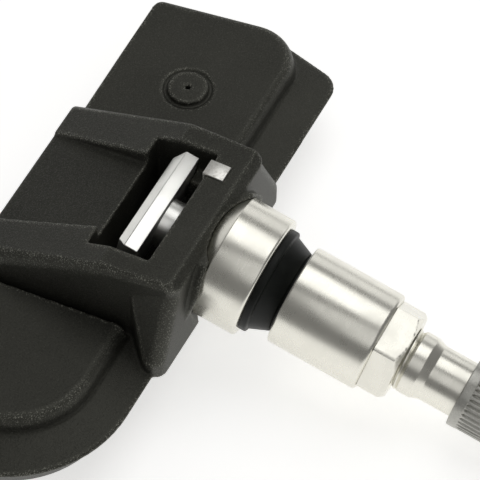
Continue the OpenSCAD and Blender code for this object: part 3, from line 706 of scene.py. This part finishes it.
@dataclass
class SensorHousing:
    """The moulded housing: a softened copy of the solid, filled where its pocket is closed.

    The fills are in mm: blocks by their spans along X, Y and Z, and discs by centre, radius and
    span along Z. They reach a little into the pocket's walls.
    """

    name: str = "housing_moulding"
    voxel: float = 0.2 * MM
    quick_coarser: float = 1.6
    smoothing: int = 4
    keep: float = 0.36
    # The next three shape the painted highlight on convex edges: where it starts, how fast it rises, and how far
    # it spreads.
    highlight_from: float = 80.0
    highlight_span: float = 420.0
    highlight_rounds: int = 3
    disc_sides: int = 64
    blocks: Sequence[tuple[Span, Span, Span]] = (
        ((15.0, 31.1), (22.1, 38.9), (-7.5, -1.9)),
        ((-9.4, 9.4), (29.4, 40.3), (-7.5, -0.3)),
        ((-25.0, 32.0), (18.7, 40.3), (-10.4, -5.2)),
    )
    discs: Sequence[tuple[Span, float, Span]] = (
        ((-25.0, 30.05), 8.7, (-7.5, -1.9)),
        ((-25.0, 29.5), 10.8, (-10.4, -5.2)),
    )

    def build(self, shop: Workshop) -> None:
        """Make the housing and dress the base cover.

        Args:
            shop: The workshop that joins meshes and holds the finishes.
        """
        obj = self._remeshed(shop.joined([shop.merged_copy("housing"), self._fill()]))
        # Mark the convex edges for their painted highlight.
        self._painted_highlight_mask(obj.data)
        obj.data.materials.clear()
        obj.data.materials.append(shop.finishes.housing)
        obj.data.shade_smooth()
        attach(obj, Body.SENSOR.value)
        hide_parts("housing")
        LOG.info("%s: %d faces, rides on %s", self.name, len(obj.data.polygons), Body.SENSOR.value)
        shop.dress("base_cover", shop.finishes.cover)

    def _fill(self) -> bmesh.types.BMesh:
        """Make the blocks and discs that fill the closed pocket.

        Returns:
            All of them in one bmesh.
        """
        bm = bmesh.new()
        for (x0, x1), (y0, y1), (z0, z1) in self.blocks:
            made = bmesh.ops.create_cube(bm, size=1.0)
            bmesh.ops.scale(bm, vec=Vector((x1 - x0, y1 - y0, z1 - z0)) * MM, verts=made["verts"])
            centre = Vector(((x0 + x1) / 2, (y0 + y1) / 2, (z0 + z1) / 2)) * MM
            bmesh.ops.translate(bm, vec=centre, verts=made["verts"])
        for (x, y), radius, (z0, z1) in self.discs:
            at = Matrix.Translation(Vector((x, y, (z0 + z1) / 2)) * MM)
            bmesh.ops.create_cone(bm, cap_ends=True, segments=self.disc_sides, radius1=radius * MM,
                                  radius2=radius * MM, depth=(z1 - z0) * MM, matrix=at)
        return bm

    def _remeshed(self, bm: bmesh.types.BMesh) -> bpy.types.Object:
        """Rebuild a mesh on an even grid, then smooth and thin it.

        Args:
            bm: The mesh, which is freed.

        Returns:
            The housing's object, without modifiers.
        """
        mesh = bpy.data.meshes.new(self.name)
        bm.to_mesh(mesh)
        bm.free()
        obj = bpy.data.objects.new(self.name, mesh)
        bpy.context.scene.collection.objects.link(obj)
        grid = obj.modifiers.new("grid", "REMESH")
        grid.mode = "VOXEL"
        grid.voxel_size = self.voxel * 1.0
        grid.adaptivity = 0.0
        soft = obj.modifiers.new("soft", "SMOOTH")
        soft.factor = 0.5
        soft.iterations = self.smoothing
        thin = obj.modifiers.new("thin", "DECIMATE")
        thin.ratio = self.keep
        made = bpy.data.meshes.new_from_object(obj.evaluated_get(bpy.context.evaluated_depsgraph_get()))
        obj.modifiers.clear()
        obj.data = made
        made.name = self.name
        bpy.data.meshes.remove(mesh)
        return obj

    @staticmethod
    def _rows(items: bpy.types.bpy_prop_collection, key: str, width: int, kind: type = float) -> np.ndarray:
        """Read one attribute of every item.

        Args:
            items: The mesh's vertices or edges.
            key: The attribute's name.
            width: How many numbers it has.
            kind: Their type.

        Returns:
            One row for each item.
        """
        flat = np.zeros(len(items) * width, kind)
        items.foreach_get(key, flat)
        return flat.reshape(-1, width)

    def _painted_highlight_mask(self, mesh: bpy.types.Mesh) -> None:
        """Write how far each point stands out from its neighbours, for a painted highlight along the convex
        edges.

        Args:
            mesh: The mesh that gets the attribute "edge".
        """
        place, normal = self._rows(mesh.vertices, "co", 3), self._rows(mesh.vertices, "normal", 3)
        a, b = self._rows(mesh.edges, "vertices", 2, int).T
        step = place[b] - place[a]
        length = np.linalg.norm(step, axis=1)
        bend = ((normal[b] - normal[a]) * step).sum(1) / np.maximum(length, 1e-9) ** 2
        value, near = np.zeros(len(place)), np.zeros(len(place))
        for end in (a, b):
            np.add.at(value, end, bend)
            np.add.at(near, end, 1)
        value /= np.maximum(near, 1)
        for _ in range(self.highlight_rounds):
            spread = np.zeros(len(place))
            for one, other in ((a, b), (b, a)):
                np.add.at(spread, one, value[other])
            value = 0.5 * value + 0.5 * spread / np.maximum(near, 1)
        mask = np.clip((value - self.highlight_from) / self.highlight_span, 0.0, 1.0)
        layer = mesh.attributes.new("edge", "FLOAT", "POINT")
        layer.data.foreach_set("value", mask.astype(np.float32))


@dataclass
class InnerParts:
    """What lies inside the housing, and the clip on the cage. Sizes in mm."""

    clip_rounding: float = 0.09

    def build(self, shop: Workshop) -> None:
        """Dress the inner pieces and make the clip.

        Args:
            shop: The workshop that makes pieces and holds the finishes.
        """
        done = shop.finishes
        dressing = {
            "circuit_board": done.board, "coin_cell": done.cell, "cell_tab_top": done.tab,
            "cell_tab_bottom": done.tab, "pressure_chip": done.chip, "port_seal": done.rubber,
            "radio_chip": done.chip, "antenna_coil": done.ferrite, "quartz_crystal": done.cell,
            "capacitors": done.ceramic,
        }
        for node, material in dressing.items():
            shop.dress(node, material)
        clip = shop.softened("contact_clip", self.clip_rounding, 2)
        shop.piece("contact_clip_strip", clip, Body.SENSOR, done.tin, ["contact_clip"])


@dataclass
class ValveBody:
    """The stem with its threads, the bolt, the grommet and the core. Sizes in mm.

    Stations count from the collar's outer face, and the tip's own from the cap's start.
    """

    collar: float = 8.75
    collar_length: float = 6.55
    ball: float = 12.0
    dome_steps: int = 14
    flat: float = 3.7
    stem: float = 4.5
    stem_end: float = 24.4
    stem_cut: float = 0.42
    stem_pitch: float = 1.0
    cut_ends: Span = (7.9, 22.6)
    thread_ends: Span = (8.1, 22.5)
    run_out: float = 0.4
    waist: float = 4.03
    waist_slope: float = 1.3
    tip: float = 3.85
    tip_cut: float = 0.34
    tip_pitch: float = 0.794
    cap_start: float = 30.5
    tip_cut_start: float = 0.5
    tip_thread_ends: Span = (0.7, 11.5)
    tip_length: float = 11.8
    tip_chamfer: float = 0.5
    tip_end_in: float = 0.6
    mouth: float = 2.55
    mouth_end: float = 38.6
    core_bore: float = 2.25
    core_ends: Span = (31.4, 38.0)
    air_bore: float = 1.2
    air_end: float = 30.4
    bolt_bore: float = 2.55
    bolt_end: float = -2.36
    bolt_rounding: float = 0.16
    grommet_bore: float = 4.55
    flange: float = 7.57
    flange_height: float = 1.05
    cone: float = 6.98
    cone_ends: Span = (1.25, 3.8)
    spigot: float = 5.7
    spigot_ends: Span = (3.9, 7.0)
    lathe: Lathe = Lathe()

    def build(self, shop: Workshop) -> None:
        """Make the stem, bolt and grommet, and dress the core.

        Args:
            shop: The workshop that makes pieces and holds the finishes.
        """
        done = shop.finishes
        shop.piece("valve_stem_turned", self._stem(shop), Body.VALVE, done.aluminium, ["valve_stem"],
                   AXIS.place(), 35.0)
        shop.piece("grommet_moulded", self._grommet(), Body.VALVE, done.rubber, ["grommet"],
                   AXIS.place(), 50.0)
        bolt = shop.softened("hollow_bolt", self.bolt_rounding, 3)
        shop.piece("hollow_bolt_milled", bolt, Body.VALVE, done.bolt, ["hollow_bolt"],
                   None, 35.0)
        for node, material in (("core_barrel", done.brass), ("core_ring", done.ring),
                               ("core_spring", done.spring), ("core_pin", done.brass),
                               ("core_cup", done.rubber)):
            shop.dress(node, material)

    def _ball_seat(self) -> list[Corner]:
        """Lay out the collar's inner face, a part of a ball round the tilt's centre.

        Returns:
            Corners from the flat in the middle to just inside the collar's edge.
        """
        centre = math.sqrt(self.ball ** 2 - self.collar ** 2) - self.collar_length
        radii = [self.flat + (self.collar - self.flat) * i / self.dome_steps for i in range(self.dome_steps)]
        seat = [Corner(r, centre - math.sqrt(self.ball ** 2 - r * r)) for r in radii]
        return [Corner(self.bolt_bore, seat[0].station, 0.1), Corner(self.flat, seat[0].station, 0.15), *seat[1:]]

    def _stem(self, shop: Workshop) -> bmesh.types.BMesh:
        """Spin the stem with its collar, ball seat and bore, and wind both threads.

        Args:
            shop: The workshop that joins meshes.

        Returns:
            The stem.
        """
        (cut_start, cut_end), root = self.cut_ends, self.stem - self.stem_cut
        tip_cut_start = self.cap_start + self.tip_cut_start
        tip_root, tip_end = self.tip - self.tip_cut, self.cap_start + self.tip_length
        thread_start, thread_end = self.tip_thread_ends
        profile = [
            *self._ball_seat(), Corner(self.collar, -self.collar_length, 0.25), Corner(self.collar, 0, 0.45),
            Corner(self.stem, 0, 0.05), Corner(self.stem, cut_start), Corner(root, cut_start + self.run_out),
            Corner(root, cut_end - self.run_out), Corner(self.stem, cut_end),
            Corner(self.stem, self.stem_end, 0.5), Corner(self.waist, self.stem_end + self.waist_slope, 0.6),
            Corner(self.waist, tip_cut_start, 0.1), Corner(tip_root, tip_cut_start + self.run_out, 0.1),
            Corner(tip_root, tip_end - self.tip_chamfer, 0.1), Corner(self.tip - self.tip_end_in, tip_end, 0.1),
            Corner(self.mouth, tip_end, 0.1), Corner(self.mouth, self.mouth_end, 0.05),
            Corner(self.core_bore, self.core_ends[1]), Corner(self.core_bore, self.core_ends[0]),
            Corner(self.air_bore, self.air_end), Corner(self.air_bore, self.bolt_end),
            Corner(self.bolt_bore, self.bolt_end, 0.05),
        ]
        stem_screw = Screw(self.stem, self.stem_cut, self.stem_pitch, self.thread_ends)
        tip_screw = Screw(self.tip, self.tip_cut, self.tip_pitch,
                          (self.cap_start + thread_start, self.cap_start + thread_end))
        return shop.joined([self.lathe.spin(profile), self.lathe.thread(stem_screw),
                            self.lathe.thread(tip_screw)])

    def _grommet(self) -> bmesh.types.BMesh:
        """Spin the rubber grommet with its flange, cone and spigot.

        Returns:
            The grommet.
        """
        (cone_low, cone_high), (spigot_low, end) = self.cone_ends, self.spigot_ends
        return self.lathe.spin([
            Corner(self.grommet_bore, 0, 0.1), Corner(self.flange, 0, 0.12),
            Corner(self.flange, self.flange_height, 0.3), Corner(self.cone, cone_low, 0.12),
            Corner(self.spigot + 0.2, cone_high, 0.15), Corner(self.spigot, spigot_low, 0.1),
            Corner(self.spigot, end, 0.3), Corner(self.grommet_bore, end, 0.1),
        ])


@dataclass
class ValveNut:
    """The nut: a long round skirt, a hexagon, and its washer. Sizes in mm."""

    radius: float = 7.15
    start: float = 4.23
    skirt: float = 13.47
    flats: float = 12.0
    hexagon: float = 3.9
    turn: float = 12.0
    ring_step: float = 0.12
    crown: float = 0.75
    crown_in: float = 0.1
    crown_steps: int = 6
    bore: float = 4.55
    bore_relief: float = 0.25
    counterbore: float = 5.95
    shoulder: float = 7.8
    lathe: Lathe = Lathe(144)

    def build(self, shop: Workshop) -> None:
        """Make the nut and dress the washer.

        Args:
            shop: The workshop that makes pieces and holds the finishes.
        """
        shop.piece("valve_nut_turned", self._nut(), Body.NUT, shop.finishes.aluminium, ["valve_nut"],
                   AXIS.place(), 24.0)
        shop.dress("thrust_washer", shop.finishes.washer)

    def _nut(self) -> bmesh.types.BMesh:
        """Spin the nut, then press its head to a hexagon.

        Returns:
            The nut.
        """
        end = self.start + self.skirt
        top = end + self.hexagon
        flat = self.flats / 2
        corner = flat / math.cos(math.pi / 6)
        inward = corner - flat + self.crown_in
        rings = [Corner(corner, end + 0.02 + self.ring_step * i)
                 for i in range(int((self.hexagon - self.crown) / self.ring_step))]
        crown = [Corner(corner - inward * i / self.crown_steps, top - self.crown * (1 - i / self.crown_steps))
                 for i in range(self.crown_steps + 1)]
        bm = self.lathe.spin([
            Corner(self.counterbore, self.start, 0.12), Corner(self.radius, self.start, 0.32),
            Corner(self.radius, end, 1.25), Corner(flat - 0.15, end + 0.001), *rings, *crown,
            Corner(self.bore + self.bore_relief, top), Corner(self.bore, top - self.bore_relief),
            Corner(self.bore, self.shoulder), Corner(self.counterbore, self.shoulder),
        ])
        self._press(bm, end * MM, flat * MM)
        return bm

    def _press(self, bm: bmesh.types.BMesh, end: float, flat: float) -> None:
        """Pull the points beyond the flats in to them.

        Args:
            bm: The spun nut.
            end: The station in metres where the hexagon starts.
            flat: Half the width across the flats in metres.
        """
        for v in bm.verts:
            if v.co.z < end:
                continue
            angle = math.atan2(v.co.y, v.co.x) - math.radians(self.turn)
            side = (angle % (math.pi / 3)) - math.pi / 6
            limit = flat / math.cos(side)
            radius = math.hypot(v.co.x, v.co.y)
            if radius > limit:
                v.co.x *= limit / radius
                v.co.y *= limit / radius


@dataclass
class ValveCap:
    """The ribbed cap and its seal. Sizes in mm.

    The rows say where the side has rings of points: how far the first lies from the ribs' start or
    from the cap's end, the step and the count.
    """

    radius: float = 5.1
    groove: float = 0.32
    ribs: int = 40
    per_rib: int = 12
    start: float = 30.5
    length: float = 14.0
    band: float = 1.5
    rib_in: float = 0.07
    rib_stop: float = 0.8
    rib_run: float = 0.75
    open_share: float = 0.72
    flank: float = 0.6
    start_rows: tuple[float, float, int] = (0.0, 0.12, 10)
    side_rows: tuple[float, float, int] = (1.3, 1.0, 9)
    end_rows: tuple[float, float, int] = (-1.8, 0.1, 5)
    end_in: Span = (0.32, 1.1)
    bore: float = 3.97
    bore_relief: float = 0.25
    bore_ends: Span = (31.7, 42.3)
    mouth_end: float = 31.4
    seal_room: float = 3.75
    seal_end: float = 43.15

    def build(self, shop: Workshop) -> None:
        """Make the cap and dress its seal.

        Args:
            shop: The workshop that makes pieces and holds the finishes.
        """
        shop.piece("valve_cap_moulded", self._cap(), Body.CAP, shop.finishes.cap, ["valve_cap"],
                   AXIS.place(), 50.0)
        shop.dress("cap_seal", shop.finishes.rubber)

    def _cap(self) -> bmesh.types.BMesh:
        """Spin the cap, then draw its side in between the ribs.

        Returns:
            The cap.
        """
        r, end, low = self.radius, self.start + self.length, self.start + self.band
        stop, wide = end - self.rib_stop, self.bore + self.bore_relief
        sides = [Corner(r - self.rib_in, base + first + step * i)
                 for base, (first, step, count) in ((low, self.start_rows), (low, self.side_rows),
                                                    (end, self.end_rows))
                 for i in range(count)]
        bm = Lathe(self.ribs * self.per_rib).spin([
            Corner(wide, self.start, 0.05), Corner(r, self.start, 0.22), Corner(r, low - 0.1, 0.05), *sides,
            Corner(r - self.end_in[0], stop, 0.1), Corner(r - self.end_in[1], end, 0.25), Corner(0, end),
            Corner(0, self.seal_end), Corner(self.seal_room, self.seal_end),
            Corner(self.seal_room, self.bore_ends[1]), Corner(self.bore, self.bore_ends[1]),
            Corner(self.bore, self.bore_ends[0]), Corner(wide, self.mouth_end),
        ])
        self._flute(bm, low, stop)
        return bm

    def _flute(self, bm: bmesh.types.BMesh, low: float, high: float) -> None:
        """Draw the outer side in between the ribs, with rounded starts.

        Args:
            bm: The spun cap.
            low: The station where the grooves start, in mm.
            high: The station where they stop, in mm.
        """
        for v in bm.verts:
            radius, station = math.hypot(v.co.x, v.co.y), v.co.z / MM
            if radius < (self.radius - self.rib_in - 0.02) * MM or not low - 0.01 < station < high:
                continue
            phase = (math.atan2(v.co.y, v.co.x) / math.tau * self.ribs) % 1.0
            across = abs(phase - 0.5) * 2
            run = min(1.0, max(0.0, (station - low) / self.rib_run))
            open_width = self.open_share * math.sqrt(max(0.0, run * (2 - run)))
            dip = 0.5 + 0.5 * math.cos(math.pi * min(1.0, across / max(open_width, 1e-3)))
            deep = dip ** self.flank if across < open_width else 0.0
            scale = 1 - self.groove * deep / self.radius
            v.co.x *= scale
            v.co.y *= scale


# ---------------------------------------------------------------------------
# Studio
# ---------------------------------------------------------------------------


@dataclass(frozen=True)
class Softbox:
    """A soft light: where it hangs, its size in metres, its power in watts and what it aims at."""

    name: str
    place: tuple[float, float, float]
    size: Span
    power: float
    aim: tuple[float, float, float] = (0.0, 0.012, 0.0)


@dataclass
class Studio:
    """The pale floor, the soft lights, the surround and the camera."""

    azimuth: float = -62.5
    elevation: float = 53.5
    distance: float = 0.53691
    aim: tuple[float, float, float] = (0.002107, 0.010238, 0.004215)
    lens: float = 300.0
    sensor: float = 36.0
    clip: Span = (0.01, 10.0)
    surround: Colour = (1.0, 0.99, 0.975)
    surround_power: float = 0.17
    floor_size: float = 2.4
    floor_gap: float = 0.2 * MM
    pool_centre: Span = (0.0145, 0.017)
    pool_edge: Span = (0.058, 0.30)
    glow: float = 0.62
    glow_near: Colour = (1.0, 0.995, 0.985)
    glow_far: Colour = (0.62, 0.62, 0.615)
    paper_near: Colour = (0.9, 0.9, 0.895)
    paper_far: Colour = (0.82, 0.82, 0.815)
    boxes: Sequence[Softbox] = (
        Softbox("overhead", (0.22, 0.0, 0.60), (0.5, 0.5), 1.05),
        Softbox("behind", (-0.40, -0.21, 0.60), (0.42, 0.5), 0.4),
        Softbox("far", (0.35, 0.56, 0.12), (0.6, 0.24), 0.3),
        Softbox("front", (0.10, -0.62, 0.10), (0.6, 0.16), 0.2),
        Softbox("right", (0.62, 0.0, 0.20), (0.5, 0.3), 0.36),
    )

    def build(self) -> None:
        """Make the floor, lights, surround and camera."""
        self._floor()
        for box in self.boxes:
            self._light(box)
        self._world()
        self._camera()

    def _floor(self) -> None:
        """Make a plain pale floor just under the lowest point."""
        low = min(CAD_BOX[0].z, CAD_BOX[1].z)
        bm = bmesh.new()
        bmesh.ops.create_grid(bm, x_segments=1, y_segments=1, size=self.floor_size / 2)
        bmesh.ops.translate(bm, vec=(0, 0, low - self.floor_gap), verts=bm.verts[:])
        mesh = bpy.data.meshes.new("floor")
        bm.to_mesh(mesh)
        bm.free()
        mesh.materials.append(self._paper())
        floor = bpy.data.objects.new("floor", mesh)
        bpy.context.scene.collection.objects.link(floor)

    def _paper(self) -> bpy.types.Material:
        """Lay out pale paper with a painted pool of light round the sensor: it glows and is lighter near the
        sensor, dimmer and greyer away from it.

        Returns:
            The floor's material.
        """
        sheet = ShaderSheet("floor_paper")
        centre = {0: sheet.place(), 1: (*self.pool_centre, 0.0)}
        away = sheet.node("ShaderNodeVectorMath", {"operation": "SUBTRACT"}, centre).wire()
        flat = sheet.stretched(away, (1.0, 1.0, 0.0))
        far = sheet.node("ShaderNodeVectorMath", {"operation": "LENGTH"}, {0: flat}).wire("Value")
        mask = far.above(*self.pool_edge)
        glow = sheet.blend(mask, self.glow_near, self.glow_far)
        tone = sheet.blend(mask, self.paper_near, self.paper_far)
        # The floor's emission paints the pool of light; the floor is no lamp.
        paper = {"Specular IOR Level": 0.1, "Roughness": 0.9, "Emission Strength": self.glow}
        return sheet.shade(tone, paper, {"Emission Color": glow})

    @staticmethod
    def _light(box: Softbox) -> None:
        """Hang one soft light and turn it to its aim.

        Args:
            box: The light's sizes.
        """
        data = bpy.data.lights.new(box.name, "AREA")
        data.shape = "RECTANGLE"
        data.size, data.size_y = box.size
        data.energy = box.power
        light = bpy.data.objects.new(box.name, data)
        light.location = box.place
        turn = Vector(box.place) - Vector(box.aim)
        light.rotation_mode = "QUATERNION"
        light.rotation_quaternion = turn.to_track_quat("Z", "Y")
        bpy.context.scene.collection.objects.link(light)

    def _world(self) -> None:
        """Make an even soft surround."""
        world = bpy.data.worlds.new("surround")
        world.use_nodes = True
        back = world.node_tree.nodes["Background"]
        back.inputs[0].default_value = (*self.surround, 1.0)
        back.inputs[1].default_value = self.surround_power
        bpy.context.scene.world = world
        bpy.context.scene.view_settings.view_transform = "Standard"

    def _camera(self) -> None:
        """Stand the camera where the photograph was taken from."""
        a, e = math.radians(self.azimuth), math.radians(self.elevation)
        back = Vector((math.sin(a) * math.cos(e), -math.cos(a) * math.cos(e), math.sin(e)))
        data = bpy.data.cameras.new("camera")
        data.sensor_width = self.sensor
        data.lens = self.lens
        data.clip_start, data.clip_end = self.clip
        camera = bpy.data.objects.new("camera", data)
        camera.location = Vector(self.aim) + back * self.distance
        camera.rotation_mode = "QUATERNION"
        camera.rotation_quaternion = (-back).to_track_quat("-Z", "Y")
        bpy.context.scene.collection.objects.link(camera)
        bpy.context.scene.camera = camera


def main() -> None:
    """Build the sub-assemblies in order, then the studio."""
    logging.basicConfig(level=logging.INFO, format="%(name)s %(message)s")
    shop = Workshop(Finishes())
    builders: Sequence[Builder] = (SensorHousing(), InnerParts(), ValveBody(), ValveNut(), ValveCap())
    for builder in builders:
        builder.build(shop)
        LOG.info("%s done", type(builder).__name__)
    Studio().build()


if __name__ == "__main__":
    main()
